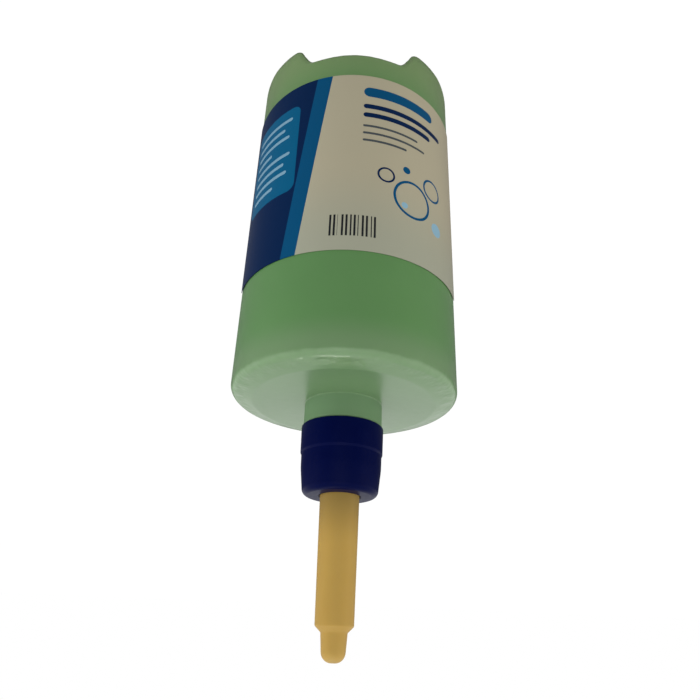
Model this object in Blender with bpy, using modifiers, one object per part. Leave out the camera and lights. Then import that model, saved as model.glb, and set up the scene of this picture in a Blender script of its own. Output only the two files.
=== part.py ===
"""Hand soap refill pack: a bottle on two feet, with a squeeze tube held by a push-on cap.

Metres, +Z up. The pack stands on its feet with the tube upright. The origin is on the
feet plane, on the bottle's axis, and the label faces -Y. A turned piece is a profile of
(radius, height) corners, measured from the piece's own seat, with a fillet at each corner.
"""
import math

import bmesh
import bpy

COLLECTION = "hand_soap_refill_pack"

# Fits and smoothness
CLEARANCE = 0.0003
BODY_STEPS = 72
CAP_STEPS = 48
TUBE_STEPS = 40
VALVE_STEPS = 32
BALL_RINGS = 12
ARC_STEP = math.radians(20)
ARC_ROOM = 0.98
MERGE_DISTANCE = 0.00001
OVERCUT = 0.004

# Bottle body
BODY_RADIUS = 0.0470
BODY_HEIGHT = 0.1711
BODY_WALL = 0.0009
FOOT_CORNER_RADIUS = 0.0070
SHOULDER_RISE = 0.0022
SHOULDER_EDGE_RADIUS = 0.0035
SHOULDER_FLAT_RADIUS = 0.0380
SHOULDER_CREASE_RADIUS = 0.0060

# Channel between the feet, and the weld rib that crosses its floor
CHANNEL_DEPTH = 0.0174
CHANNEL_FLOOR_WIDTH = 0.0406
CHANNEL_FOOT_WIDTH = 0.0614
CHANNEL_FLOOR_FILLET = 0.0020
FOOT_EDGE_FILLET = 0.0100
FOOT_RELIEF = 0.0002
WELD_RIB_WIDTH = 0.0008
WELD_RIB_DEPTH = 0.0006
WELD_RIB_MARGIN = 0.0030

# Bottle neck
COLLAR_RADIUS = 0.0160
COLLAR_HEIGHT = 0.0098
COLLAR_ROOT_FILLET = 0.0015
NECK_WALL = 0.0015
NECK_BORE_FILLET = 0.0005
FINISH_RADIUS = 0.0143
BEAD_START = 0.0076
BEAD_PROUD = 0.0008
BEAD_FLAT = 0.0010
BEAD_LEAD_IN = 0.0016

# Push-on cap
CAP_RIM_RADIUS = 0.0167
CAP_HEIGHT = 0.0277
CAP_STEP_HEIGHT = 0.0109
CAP_STEP_DEPTH = 0.0005
CAP_RIM_DRAFT = 0.0002
CAP_BULGE_HEIGHT = 0.0170
CAP_END_RADIUS = 0.0148
CAP_END_FILLET = 0.0026
CAP_END_WALL = 0.0018
CAP_BULGE_FILLET = 0.0300

# Squeeze tube
TUBE_FLANGE_THICKNESS = 0.0018
FLANGE_INSET = 0.0006
TUBE_ROOT_RADIUS = 0.00775
TUBE_END_RADIUS = 0.00713
TUBE_WALL = 0.0017
TUBE_BARREL_LENGTH = 0.0463
TUBE_EDGE_FILLET = 0.0007
TUBE_SHOULDER_HEIGHT = 0.0021
NIPPLE_ROOT_RADIUS = 0.0049
NIPPLE_END_RADIUS = 0.0042
NIPPLE_LENGTH = 0.0098
NIPPLE_TIP_FILLET = 0.0026
NIPPLE_BORE_RADIUS = 0.0024
NIPPLE_TIP_WALL = 0.0024
OUTLET_SLIT_LENGTH = 0.0030
OUTLET_SLIT_WIDTH = 0.00025

# Inlet valve: a seat with a finger cage, and its ball
VALVE_RIM_THICKNESS = 0.0010
VALVE_WALL = 0.0010
VALVE_SPIGOT_HEIGHT = 0.0020
INLET_RADIUS = 0.0019
BALL_RADIUS = 0.003175
BALL_LIFT = 0.0016
CAGE_LIP_REACH = 0.0025
CAGE_LIP_THICKNESS = 0.0009
CAGE_SLOT_WIDTH = 0.0030
CAGE_SLOTS = 3

# Soap and label
SOAP_HEADSPACE = 0.0076
LABEL_WIDTH = 0.1240
LABEL_HEIGHT = 0.0954
LABEL_BASE = 0.0302
LABEL_THICKNESS = 0.0002
LABEL_STEPS = 30

# Heights of the seats, each from the piece below it
SHOULDER_EDGE_HEIGHT = BODY_HEIGHT - SHOULDER_RISE
SOAP_LEVEL = BODY_HEIGHT - SOAP_HEADSPACE
COLLAR_TOP = BODY_HEIGHT + COLLAR_HEIGHT
CAP_RIM = COLLAR_TOP + CLEARANCE
CAP_END = CAP_RIM + CAP_HEIGHT
FLANGE_TOP = CAP_END - CAP_END_WALL - CLEARANCE
FLANGE_SEAT = FLANGE_TOP - TUBE_FLANGE_THICKNESS
VALVE_SEAT = FLANGE_SEAT - CLEARANCE - VALVE_RIM_THICKNESS
NECK_LIP = VALVE_SEAT - CLEARANCE

# Radii that follow from the pieces inside or outside them
NECK_BORE_RADIUS = FINISH_RADIUS - NECK_WALL
BEAD_RADIUS = FINISH_RADIUS + BEAD_PROUD
CAP_SKIRT_BORE = FINISH_RADIUS + CLEARANCE
FLANGE_RADIUS = FINISH_RADIUS - FLANGE_INSET
CAP_HOLE_RADIUS = TUBE_ROOT_RADIUS + CLEARANCE
TUBE_BARREL_TOP = CAP_END + TUBE_BARREL_LENGTH - FLANGE_SEAT
CAGE_LIP_RADIUS = BALL_RADIUS + CLEARANCE - CAGE_LIP_REACH / 2

# Inlet valve geometry: the ball touches a 45 degree cone
SEAT_ANGLE = math.radians(45)
CONE_APEX = VALVE_RIM_THICKNESS - INLET_RADIUS / math.tan(SEAT_ANGLE)
BALL_REST = CONE_APEX + (BALL_RADIUS + CLEARANCE) / math.sin(SEAT_ANGLE)
CAGE_LIP_UNDERSIDE = BALL_REST + BALL_LIFT + math.sqrt(
    (BALL_RADIUS + CLEARANCE) ** 2 - CAGE_LIP_RADIUS ** 2
)
CAGE_TOP = CAGE_LIP_UNDERSIDE + CAGE_LIP_THICKNESS


def tube_bore_radius(height):
    """Radius of the tube's bore at a height above the flange seat."""
    along = min(max(height / TUBE_BARREL_TOP, 0.0), 1.0)
    return TUBE_ROOT_RADIUS + (TUBE_END_RADIUS - TUBE_ROOT_RADIUS) * along - TUBE_WALL


CAGE_OUTER_RADIUS = tube_bore_radius(VALVE_SEAT + CAGE_TOP - FLANGE_SEAT) - CLEARANCE
CAGE_BORE_RADIUS = CAGE_OUTER_RADIUS - VALVE_WALL


def clear_scene():
    """Remove every object, so that the script can be run again."""
    for thing in list(bpy.data.objects):
        bpy.data.objects.remove(thing, do_unlink=True)


def new_collection(name):
    """Return the named collection, linked to the scene."""
    group = bpy.data.collections.get(name) or bpy.data.collections.new(name)
    if group.name not in bpy.context.scene.collection.children:
        bpy.context.scene.collection.children.link(group)
    return group


def plastic(name, colour, roughness, transmission=0.0):
    """A Principled material of one sRGB colour."""
    finish = bpy.data.materials.new(name)
    finish.use_nodes = True
    shader = finish.node_tree.nodes["Principled BSDF"]
    linear = [((c + 0.055) / 1.055) ** 2.4 if c > 0.04045 else c / 12.92 for c in colour]
    shader.inputs["Base Color"].default_value = (*linear, 1.0)
    shader.inputs["Roughness"].default_value = roughness
    shader.inputs["Metallic"].default_value = 0.0
    shader.inputs["Transmission Weight"].default_value = transmission
    finish.diffuse_color = (*linear, 1.0)
    return finish


def steel(name):
    """A bright metal material for the valve ball."""
    finish = plastic(name, (0.78, 0.79, 0.80), 0.25)
    finish.node_tree.nodes["Principled BSDF"].inputs["Metallic"].default_value = 1.0
    return finish


def fillet_path(corners):
    """Points along straight runs through (x, z, radius) corners, with arcs at the corners."""
    points = []
    for index, (x, z, radius) in enumerate(corners):
        if radius <= 0.0 or index in (0, len(corners) - 1):
            points.append((x, z))
            continue
        before = corners[index - 1]
        after = corners[index + 1]
        points.extend(corner_arc((x, z), before[:2], after[:2], radius))
    return points


def corner_arc(corner, before, after, radius):
    """Points of the arc of this radius that rounds the corner between two straight runs."""
    back = (before[0] - corner[0], before[1] - corner[1])
    ahead = (after[0] - corner[0], after[1] - corner[1])
    back_length = math.hypot(*back)
    ahead_length = math.hypot(*ahead)
    back = (back[0] / back_length, back[1] / back_length)
    ahead = (ahead[0] / ahead_length, ahead[1] / ahead_length)
    opening = math.acos(max(-1.0, min(1.0, back[0] * ahead[0] + back[1] * ahead[1])))
    room = ARC_ROOM * min(back_length, ahead_length)
    run = min(radius / math.tan(opening / 2), room)
    radius = run * math.tan(opening / 2)
    bisector = (back[0] + ahead[0], back[1] + ahead[1])
    to_centre = math.hypot(radius, run) / math.hypot(*bisector)
    centre = (corner[0] + bisector[0] * to_centre, corner[1] + bisector[1] * to_centre)
    first = math.atan2(corner[1] + back[1] * run - centre[1], corner[0] + back[0] * run - centre[0])
    last = math.atan2(corner[1] + ahead[1] * run - centre[1], corner[0] + ahead[0] * run - centre[0])
    sweep = (last - first + math.pi) % (2 * math.pi) - math.pi
    steps = max(2, math.ceil(abs(sweep) / ARC_STEP))
    return [
        (
            centre[0] + radius * math.cos(first + sweep * step / steps),
            centre[1] + radius * math.sin(first + sweep * step / steps),
        )
        for step in range(steps + 1)
    ]


def add_object(name, mesh, group, height=0.0):
    """Link a mesh as a named object with its origin on the axis at this height."""
    thing = bpy.data.objects.new(name, mesh)
    thing.location = (0.0, 0.0, height)
    group.objects.link(thing)
    return thing


def turned(name, points, steps, group, height=0.0, closed=False, angle=2 * math.pi):
    """A profile of (radius, height) points, swept about the axis by a Screw modifier."""
    edges = [(index, index + 1) for index in range(len(points) - 1)]
    if closed:
        edges.append((len(points) - 1, 0))
    mesh = bpy.data.meshes.new(name)
    mesh.from_pydata([(radius, 0.0, z) for radius, z in points], edges, [])
    thing = add_object(name, mesh, group, height)
    sweep = thing.modifiers.new("turn", "SCREW")
    sweep.angle = angle
    sweep.steps = steps
    sweep.render_steps = steps
    sweep.use_merge_vertices = angle == 2 * math.pi
    sweep.merge_threshold = MERGE_DISTANCE
    sweep.use_smooth_shade = True
    return thing


def block(name, size, centre, group, turn=0.0):
    """A box of this size, turned about the axis, then placed by its centre."""
    mesh = bpy.data.meshes.new(name)
    form = bmesh.new()
    bmesh.ops.create_cube(form, size=1.0)
    for vertex in form.verts:
        vertex.co = (
            vertex.co.x * size[0] + centre[0],
            vertex.co.y * size[1] + centre[1],
            vertex.co.z * size[2] + centre[2],
        )
    form.to_mesh(mesh)
    form.free()
    thing = add_object(name, mesh, group)
    thing.rotation_euler = (0.0, 0.0, turn)
    return thing


def prism_along_y(name, outline, half_length, group):
    """A closed (x, z) outline, extruded both ways along Y."""
    mesh = bpy.data.meshes.new(name)
    form = bmesh.new()
    ring = [form.verts.new((x, -half_length, z)) for x, z in outline]
    end = form.faces.new(ring)
    swept = bmesh.ops.extrude_face_region(form, geom=[end])
    far = [piece for piece in swept["geom"] if isinstance(piece, bmesh.types.BMVert)]
    bmesh.ops.translate(form, verts=far, vec=(0.0, 2 * half_length, 0.0))
    bmesh.ops.recalc_face_normals(form, faces=form.faces)
    form.to_mesh(mesh)
    form.free()
    return add_object(name, mesh, group)


def boolean(thing, other, operation="DIFFERENCE"):
    """Cut or join another object into this one, exactly."""
    step = thing.modifiers.new(operation.lower() + "_" + other.name, "BOOLEAN")
    step.operation = operation
    step.solver = "EXACT"
    step.object = other
    other.hide_render = True
    other.display_type = "WIRE"


def body_profile(inset):
    """Corners of the bottle's body, from the shoulder down to the base, moved in by inset."""
    return [
        (0.0, BODY_HEIGHT - inset, 0.0),
        (SHOULDER_FLAT_RADIUS, BODY_HEIGHT - inset, SHOULDER_CREASE_RADIUS),
        (BODY_RADIUS - inset, SHOULDER_EDGE_HEIGHT - inset, SHOULDER_EDGE_RADIUS - inset),
        (BODY_RADIUS - inset, inset, FOOT_CORNER_RADIUS - inset),
        (0.0, inset, 0.0),
    ]


def channel_outline(inset):
    """Section of the channel between the feet, with its walls moved into the bottle by inset."""
    half_floor = CHANNEL_FLOOR_WIDTH / 2
    half_foot = CHANNEL_FOOT_WIDTH / 2
    slope = math.atan2(CHANNEL_DEPTH, half_foot - half_floor)
    shift = inset / math.sin(slope)

    def flank(z):
        """Half width of the moved flank at this height."""
        return half_foot + shift - z / math.tan(slope)

    right = fillet_path(
        [
            (0.0, CHANNEL_DEPTH + inset, 0.0),
            (flank(CHANNEL_DEPTH + inset), CHANNEL_DEPTH + inset, CHANNEL_FLOOR_FILLET + inset),
            (flank(inset), inset, max(FOOT_EDGE_FILLET - inset, CLEARANCE)),
            (BODY_RADIUS + OVERCUT, inset - FOOT_RELIEF, 0.0),
            (BODY_RADIUS + OVERCUT, -OVERCUT, 0.0),
            (0.0, -OVERCUT, 0.0),
        ]
    )
    left = [(-x, z) for x, z in reversed(right) if x > 0.0]
    return right + left


def body_form(name, inset, group, extra=()):
    """The bottle's body moved in by inset, solid, with the channel cut out of it."""
    corners = list(extra) + body_profile(inset)[1 if extra else 0:]
    form = turned(name, fillet_path(corners), BODY_STEPS, group)
    channel = prism_along_y(name + "_channel", channel_outline(inset), BODY_RADIUS + OVERCUT, CUTTERS)
    boolean(form, channel)
    return form


def neck_profile():
    """Corners of the neck's outside, from the lip down to where it meets the shoulder."""
    bead_foot = COLLAR_TOP + BEAD_START
    bead_flat = bead_foot + BEAD_PROUD / 2
    bead_top = bead_flat + BEAD_FLAT
    return [
        (0.0, NECK_LIP, 0.0),
        (FINISH_RADIUS, NECK_LIP, BEAD_PROUD),
        (FINISH_RADIUS, bead_top + BEAD_LEAD_IN, 0.0),
        (BEAD_RADIUS, bead_top, 0.0),
        (BEAD_RADIUS, bead_flat, 0.0),
        (FINISH_RADIUS, bead_foot, 0.0),
        (FINISH_RADIUS, COLLAR_TOP, 0.0),
        (COLLAR_RADIUS, COLLAR_TOP, BEAD_PROUD),
        (COLLAR_RADIUS, BODY_HEIGHT, COLLAR_ROOT_FILLET),
    ]


def neck_bore_profile():
    """Corners of the space inside the neck, from above the lip down to the shoulder."""
    collar_bore = COLLAR_RADIUS - NECK_WALL
    return [
        (0.0, NECK_LIP + OVERCUT, 0.0),
        (NECK_BORE_RADIUS, NECK_LIP + OVERCUT, 0.0),
        (NECK_BORE_RADIUS, COLLAR_TOP - NECK_WALL, NECK_BORE_FILLET),
        (collar_bore, COLLAR_TOP - 2 * NECK_WALL, NECK_BORE_FILLET),
        (collar_bore, BODY_HEIGHT - BODY_WALL, NECK_BORE_FILLET),
    ]


def make_bottle():
    """Blow-moulded bottle: thin walls, two feet, a flat shoulder and a neck with a snap bead."""
    bottle = body_form("bottle", 0.0, PARTS, neck_profile())
    rib_length = CHANNEL_FLOOR_WIDTH - 2 * WELD_RIB_MARGIN
    rib_height = WELD_RIB_DEPTH + BODY_WALL / 2
    rib_centre = (0.0, 0.0, CHANNEL_DEPTH - WELD_RIB_DEPTH + rib_height / 2)
    rib = block("weld_rib", (rib_length, WELD_RIB_WIDTH, rib_height), rib_centre, CUTTERS)
    boolean(bottle, rib, "UNION")
    boolean(bottle, body_form("bottle_inside", BODY_WALL, CUTTERS, neck_bore_profile()))
    bottle.data.materials.append(plastic("bottle_plastic", (0.42, 0.55, 0.38), 0.35))
    return bottle


def make_soap():
    """The soap fill: the bottle's inside less a clearance, up to its level."""
    soap = body_form("liquid_soap", BODY_WALL + CLEARANCE, PARTS)
    top = BODY_HEIGHT + OVERCUT
    span = 2 * (BODY_RADIUS + OVERCUT)
    size = (span, span, top - SOAP_LEVEL)
    headspace = block("headspace", size, (0.0, 0.0, (top + SOAP_LEVEL) / 2), CUTTERS)
    boolean(soap, headspace)
    soap.data.materials.append(plastic("soap_green", (0.33, 0.52, 0.30), 0.15, 0.4))
    return soap


def make_label():
    """Front label: a thin film around the bottle, centred on -Y."""
    radius = BODY_RADIUS + CLEARANCE
    angle = LABEL_WIDTH / radius
    edge = [(radius, LABEL_HEIGHT), (radius, 0.0)]
    label = turned("front_label", edge, LABEL_STEPS, PARTS, LABEL_BASE, angle=angle)
    label.rotation_euler = (0.0, 0.0, -math.pi / 2 - angle / 2)
    film = label.modifiers.new("film", "SOLIDIFY")
    film.thickness = LABEL_THICKNESS
    film.offset = 1.0
    label.data.materials.append(plastic("label_print", (0.62, 0.61, 0.52), 0.35))
    return label


def make_cap():
    """Push-on cap: stepped and tapered outside, with a groove inside for the neck's bead."""
    step_radius = CAP_RIM_RADIUS - CAP_RIM_DRAFT - CAP_STEP_DEPTH
    bead_start = BEAD_START - CLEARANCE
    groove_radius = BEAD_RADIUS + CLEARANCE
    groove_low = bead_start - CLEARANCE
    groove_flat = groove_low + BEAD_PROUD / 2
    groove_high = bead_start + BEAD_PROUD / 2 + BEAD_FLAT + CLEARANCE
    groove_end = groove_high + BEAD_LEAD_IN
    inside_end = CAP_HEIGHT - CAP_END_WALL
    outside = [
        (CAP_HOLE_RADIUS, CAP_HEIGHT, 0.0),
        (CAP_END_RADIUS, CAP_HEIGHT, CAP_END_FILLET),
        (step_radius, CAP_BULGE_HEIGHT, CAP_BULGE_FILLET),
        (step_radius, CAP_STEP_HEIGHT + CAP_STEP_DEPTH / 2, 0.0),
        (step_radius + CAP_STEP_DEPTH, CAP_STEP_HEIGHT, 0.0),
        (CAP_RIM_RADIUS, 0.0, 0.0),
    ]
    inside = [
        (CAP_SKIRT_BORE, 0.0),
        (CAP_SKIRT_BORE, groove_low),
        (groove_radius, groove_flat),
        (groove_radius, groove_high),
        (CAP_SKIRT_BORE, groove_end),
        (CAP_SKIRT_BORE, inside_end),
        (CAP_HOLE_RADIUS, inside_end),
    ]
    profile = fillet_path(outside) + inside
    cap = turned("cap", profile, CAP_STEPS, PARTS, CAP_RIM, closed=True)
    cap.data.materials.append(plastic("cap_navy", (0.03, 0.06, 0.24), 0.30))
    return cap


def make_squeeze_tube():
    """Rubber tube: a flange under the cap, a tapered bored barrel and a slit nipple."""
    shoulder_top = TUBE_BARREL_TOP + TUBE_SHOULDER_HEIGHT
    tip = shoulder_top + NIPPLE_LENGTH
    bore_top = TUBE_BARREL_TOP - TUBE_EDGE_FILLET
    outside = [
        (0.0, tip, 0.0),
        (NIPPLE_END_RADIUS, tip, NIPPLE_TIP_FILLET),
        (NIPPLE_ROOT_RADIUS, shoulder_top, TUBE_EDGE_FILLET),
        (TUBE_END_RADIUS, TUBE_BARREL_TOP, TUBE_EDGE_FILLET),
        (TUBE_ROOT_RADIUS, TUBE_FLANGE_THICKNESS, 0.0),
        (FLANGE_RADIUS, TUBE_FLANGE_THICKNESS, 0.0),
        (FLANGE_RADIUS, 0.0, 0.0),
    ]
    inside = [
        (tube_bore_radius(0.0), 0.0),
        (tube_bore_radius(bore_top), bore_top),
        (NIPPLE_BORE_RADIUS, shoulder_top),
        (NIPPLE_BORE_RADIUS, tip - NIPPLE_TIP_WALL),
        (0.0, tip - NIPPLE_TIP_WALL),
    ]
    profile = fillet_path(outside) + inside
    tube = turned("squeeze_tube", profile, TUBE_STEPS, PARTS, FLANGE_SEAT)
    size = (OUTLET_SLIT_LENGTH, OUTLET_SLIT_WIDTH, 2 * NIPPLE_TIP_WALL)
    slit = block("outlet_slit", size, (0.0, 0.0, FLANGE_SEAT + tip - NIPPLE_TIP_WALL / 2), CUTTERS)
    boolean(tube, slit)
    tube.data.materials.append(plastic("tube_amber", (0.69, 0.57, 0.29), 0.55))
    return tube


def make_valve_seat():
    """Inlet valve seat: a rim on the neck's lip, a cone for the ball and a cage of fingers."""
    spigot_radius = NECK_BORE_RADIUS - CLEARANCE
    cone_top = VALVE_RIM_THICKNESS + (CAGE_BORE_RADIUS - INLET_RADIUS) / math.tan(SEAT_ANGLE)
    profile = [
        (CAGE_LIP_RADIUS, CAGE_TOP),
        (CAGE_OUTER_RADIUS, CAGE_TOP),
        (CAGE_OUTER_RADIUS, VALVE_RIM_THICKNESS),
        (FLANGE_RADIUS, VALVE_RIM_THICKNESS),
        (FLANGE_RADIUS, 0.0),
        (spigot_radius, 0.0),
        (spigot_radius, -VALVE_SPIGOT_HEIGHT),
        (spigot_radius - VALVE_WALL, -VALVE_SPIGOT_HEIGHT),
        (spigot_radius - VALVE_WALL, 0.0),
        (INLET_RADIUS, 0.0),
        (INLET_RADIUS, VALVE_RIM_THICKNESS),
        (CAGE_BORE_RADIUS, cone_top),
        (CAGE_BORE_RADIUS, CAGE_LIP_UNDERSIDE),
        (CAGE_LIP_RADIUS, CAGE_LIP_UNDERSIDE),
    ]
    seat = turned("valve_seat", profile, VALVE_STEPS, PARTS, VALVE_SEAT, closed=True)
    slot_base = BALL_REST + CLEARANCE
    slot_height = CAGE_TOP + OVERCUT - slot_base
    slot_start = CAGE_LIP_RADIUS - CLEARANCE
    slot_length = CAGE_OUTER_RADIUS + OVERCUT - slot_start
    centre = (slot_start + slot_length / 2, 0.0, VALVE_SEAT + slot_base + slot_height / 2)
    for number in range(CAGE_SLOTS):
        turn = 2 * math.pi * number / CAGE_SLOTS
        size = (slot_length, CAGE_SLOT_WIDTH, slot_height)
        boolean(seat, block("cage_slot_%d" % number, size, centre, CUTTERS, turn))
    seat.data.materials.append(plastic("valve_white", (0.88, 0.88, 0.86), 0.40))
    return seat


def make_valve_ball():
    """Valve ball, with its origin at its centre, at rest on the cone."""
    mesh = bpy.data.meshes.new("valve_ball")
    form = bmesh.new()
    bmesh.ops.create_uvsphere(
        form, u_segments=2 * BALL_RINGS, v_segments=BALL_RINGS, radius=BALL_RADIUS
    )
    for face in form.faces:
        face.smooth = True
    form.to_mesh(mesh)
    form.free()
    ball = add_object("valve_ball", mesh, PARTS, VALVE_SEAT + BALL_REST)
    ball.data.materials.append(steel("ball_steel"))
    return ball


clear_scene()
PARTS = new_collection(COLLECTION)
CUTTERS = new_collection("cutters")
make_bottle()
make_soap()
make_label()
make_cap()
make_squeeze_tube()
make_valve_seat()
make_valve_ball()
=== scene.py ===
"""Looks of a hand soap refill pack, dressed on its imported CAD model, in metres and +Z up.

The pack stands on its two feet with the squeeze tube upright, and the label faces -Y.
"""
import logging
import math
from dataclasses import dataclass, field
from enum import Enum
from typing import Iterable, Sequence

import bpy
from mathutils import Matrix, Vector


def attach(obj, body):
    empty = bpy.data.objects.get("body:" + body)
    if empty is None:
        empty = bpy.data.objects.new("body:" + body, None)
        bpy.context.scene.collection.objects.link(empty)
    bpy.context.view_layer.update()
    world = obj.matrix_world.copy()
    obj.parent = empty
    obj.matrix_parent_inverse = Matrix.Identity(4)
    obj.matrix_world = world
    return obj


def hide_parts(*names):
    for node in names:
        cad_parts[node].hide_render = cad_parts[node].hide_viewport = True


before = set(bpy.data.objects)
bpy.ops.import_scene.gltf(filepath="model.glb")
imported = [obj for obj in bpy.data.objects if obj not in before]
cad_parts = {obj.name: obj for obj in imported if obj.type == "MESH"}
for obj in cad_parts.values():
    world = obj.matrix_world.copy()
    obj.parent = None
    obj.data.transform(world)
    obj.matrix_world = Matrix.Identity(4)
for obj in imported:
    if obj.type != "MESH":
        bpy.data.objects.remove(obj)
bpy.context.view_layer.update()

LOG = logging.getLogger("soap_refill")
# One millimetre, and the distance that merges two vertices, in metres.
MM = 0.001
MERGE = 0.00001
WHITE = (1.0, 1.0, 1.0, 1.0)
NOISE_MIDDLE = 0.5
# Keeps the centre of a dot inside the dot, in square mm.
DOT_MARGIN = 0.001
# Largest share of a straight run that one fillet takes up.
FILLET_ROOM = 0.98

Corner = tuple[float, float, float]
Point = tuple[float, float, float]
Span = tuple[float, float]
Colour = tuple[int, int, int]


class Body(Enum):
    """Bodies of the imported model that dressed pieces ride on."""

    PACK = "pack_body"


class MixSocket(Enum):
    """Sockets of a Mix node of colours, whose names other kinds of it use too."""

    FACTOR = 0
    FIRST = 6
    SECOND = 7
    RESULT = 2


def linear(colour: Colour) -> tuple[float, float, float, float]:
    """Turns an sRGB colour of 0 to 255 into a linear one, by the standard curve.

    Args:
        colour: Red, green and blue.

    Returns:
        The linear colour with an alpha of 1.
    """
    parts = [value / 255 for value in colour]
    straight = [p / 12.92 if p <= 0.04045 else ((p + 0.055) / 1.055) ** 2.4 for p in parts]
    return (straight[0], straight[1], straight[2], 1.0)


def clamp(value: float) -> float:
    """Limits a value to 0 to 1."""
    return min(1.0, max(0.0, value))


def rounded(corners: Sequence[Corner], step: float = math.radians(9)) -> list[tuple[float, float]]:
    """Rounds the corners of a path of straight runs.

    Args:
        corners: Radius, height and fillet of each corner, in mm.
        step: Largest turn between two points of an arc.

    Returns:
        The points of the path as radius and height, in mm.
    """
    path: list[tuple[float, float]] = []
    for index, (x, z, fillet) in enumerate(corners):
        if fillet <= 0 or index in (0, len(corners) - 1):
            path.append((x, z))
            continue
        here = Vector((x, z))
        back = Vector(corners[index - 1][:2]) - here
        ahead = Vector(corners[index + 1][:2]) - here
        room = FILLET_ROOM * min(back.length, ahead.length)
        back.normalize()
        ahead.normalize()
        half = back.angle(ahead) / 2
        run = min(fillet / math.tan(half), room)
        radius = run * math.tan(half)
        centre = here + (back + ahead).normalized() * math.hypot(radius, run)
        first = here + back * run - centre
        last = here + ahead * run - centre
        sweep = math.atan2(first.x * last.y - first.y * last.x, first.dot(last))
        count = max(2, math.ceil(abs(sweep) / step))
        for number in range(count + 1):
            turn = sweep * number / count
            spoke = Matrix.Rotation(turn, 2) @ first
            path.append((centre.x + spoke.x, centre.y + spoke.y))
    return path


class Bench:
    """Modelling steps that the pieces share, each done with Blender's own operators."""

    @staticmethod
    def deselect() -> None:
        """Leaves every object unselected, in object mode."""
        if bpy.context.object and bpy.context.object.mode != "OBJECT":
            bpy.ops.object.mode_set(mode="OBJECT")
        bpy.ops.object.select_all(action="DESELECT")

    @staticmethod
    def pick(piece: bpy.types.Object, *others: bpy.types.Object) -> None:
        """Selects some objects and makes the first one active."""
        Bench.deselect()
        for thing in (piece, *others):
            thing.select_set(True)
        bpy.context.view_layer.objects.active = piece

    @staticmethod
    def edit(piece: bpy.types.Object, selected: bool = True) -> None:
        """Enters edit mode on a piece, with all of its mesh selected or none."""
        Bench.pick(piece)
        bpy.ops.object.mode_set(mode="EDIT")
        bpy.ops.mesh.select_mode(type="VERT")
        bpy.ops.mesh.select_all(action="SELECT" if selected else "DESELECT")

    @staticmethod
    def done() -> None:
        """Goes back to object mode."""
        bpy.ops.object.mode_set(mode="OBJECT")

    @staticmethod
    def weld() -> None:
        """Merges the doubles of the mesh in edit mode and turns its faces outwards."""
        bpy.ops.mesh.select_all(action="SELECT")
        bpy.ops.mesh.remove_doubles(threshold=MERGE)
        bpy.ops.mesh.normals_make_consistent(inside=False)

    @staticmethod
    def draw(name: str, points: Sequence[Point], closed: bool = False) -> bpy.types.Object:
        """Draws a line of edges by extruding one vertex from point to point.

        Args:
            name: Name of the new piece.
            points: Points in mm.
            closed: Whether the line ends where it starts.

        Returns:
            The piece, in edit mode, with all of it selected.
        """
        Bench.deselect()
        bpy.ops.mesh.primitive_plane_add(size=MM, location=(0, 0, 0))
        piece = bpy.context.object
        piece.name = name
        piece.data.name = name
        Bench.edit(piece)
        bpy.ops.mesh.merge(type="CENTER")
        route = [Vector(point) * MM for point in points]
        if closed:
            route.append(route[0])
        bpy.ops.transform.translate(value=route[0])
        for start, end in zip(route, route[1:]):
            bpy.ops.mesh.extrude_region_move(TRANSFORM_OT_translate={"value": end - start})
        bpy.ops.mesh.select_all(action="SELECT")
        if closed:
            bpy.ops.mesh.remove_doubles(threshold=MERGE)
        return piece

    @staticmethod
    def lathe(
        name: str, path: Sequence[tuple[float, float]], segments: int, closed: bool = False
    ) -> bpy.types.Object:
        """Spins a path of radius and height, in mm, about the axis.

        Args:
            name: Name of the new piece.
            path: Points of the path.
            segments: Steps of the spin.
            closed: Whether the path is a ring.

        Returns:
            The turned piece.
        """
        piece = Bench.draw(name, [(radius, 0.0, height) for radius, height in path], closed)
        bpy.ops.mesh.spin(steps=segments, angle=2 * math.pi, center=(0, 0, 0), axis=(0, 0, 1))
        Bench.weld()
        Bench.done()
        return piece

    @staticmethod
    def prism(
        name: str, outline: Sequence[tuple[float, float]], half_length: float
    ) -> bpy.types.Object:
        """Fills an outline of x and z, in mm, and extrudes it both ways along Y."""
        piece = Bench.draw(name, [(x, -half_length, z) for x, z in outline], closed=True)
        bpy.ops.mesh.edge_face_add()
        bpy.ops.mesh.extrude_region_move(
            TRANSFORM_OT_translate={"value": (0, 2 * half_length * MM, 0)}
        )
        bpy.ops.mesh.select_all(action="SELECT")
        bpy.ops.mesh.normals_make_consistent(inside=False)
        Bench.done()
        return piece

    @staticmethod
    def apply(piece: bpy.types.Object, kind: str, **settings: object) -> None:
        """Adds a modifier with these settings and applies it at once."""
        Bench.pick(piece)
        step = piece.modifiers.new(kind.lower(), kind)
        for name, value in settings.items():
            setattr(step, name, value)
        bpy.ops.object.modifier_apply(modifier=step.name)

    @staticmethod
    def cut(piece: bpy.types.Object, tool: bpy.types.Object) -> None:
        """Cuts a tool out of a piece and removes the tool."""
        Bench.apply(piece, "BOOLEAN", operation="DIFFERENCE", solver="EXACT", object=tool)
        bpy.data.objects.remove(tool, do_unlink=True)

    @staticmethod
    def join(piece: bpy.types.Object, *others: bpy.types.Object) -> None:
        """Makes one mesh of several pieces, under the first one's name."""
        Bench.pick(piece, *others)
        bpy.ops.object.join()

    @staticmethod
    def smooth(piece: bpy.types.Object, angle: float) -> None:
        """Shades a piece smoothly, apart from edges sharper than the angle in degrees."""
        Bench.pick(piece)
        bpy.ops.object.shade_smooth_by_angle(angle=math.radians(angle))

    @staticmethod
    def paint(piece: bpy.types.Object, material: bpy.types.Material) -> None:
        """Gives a piece one material and no other."""
        piece.data.materials.clear()
        piece.data.materials.append(material)


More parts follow.
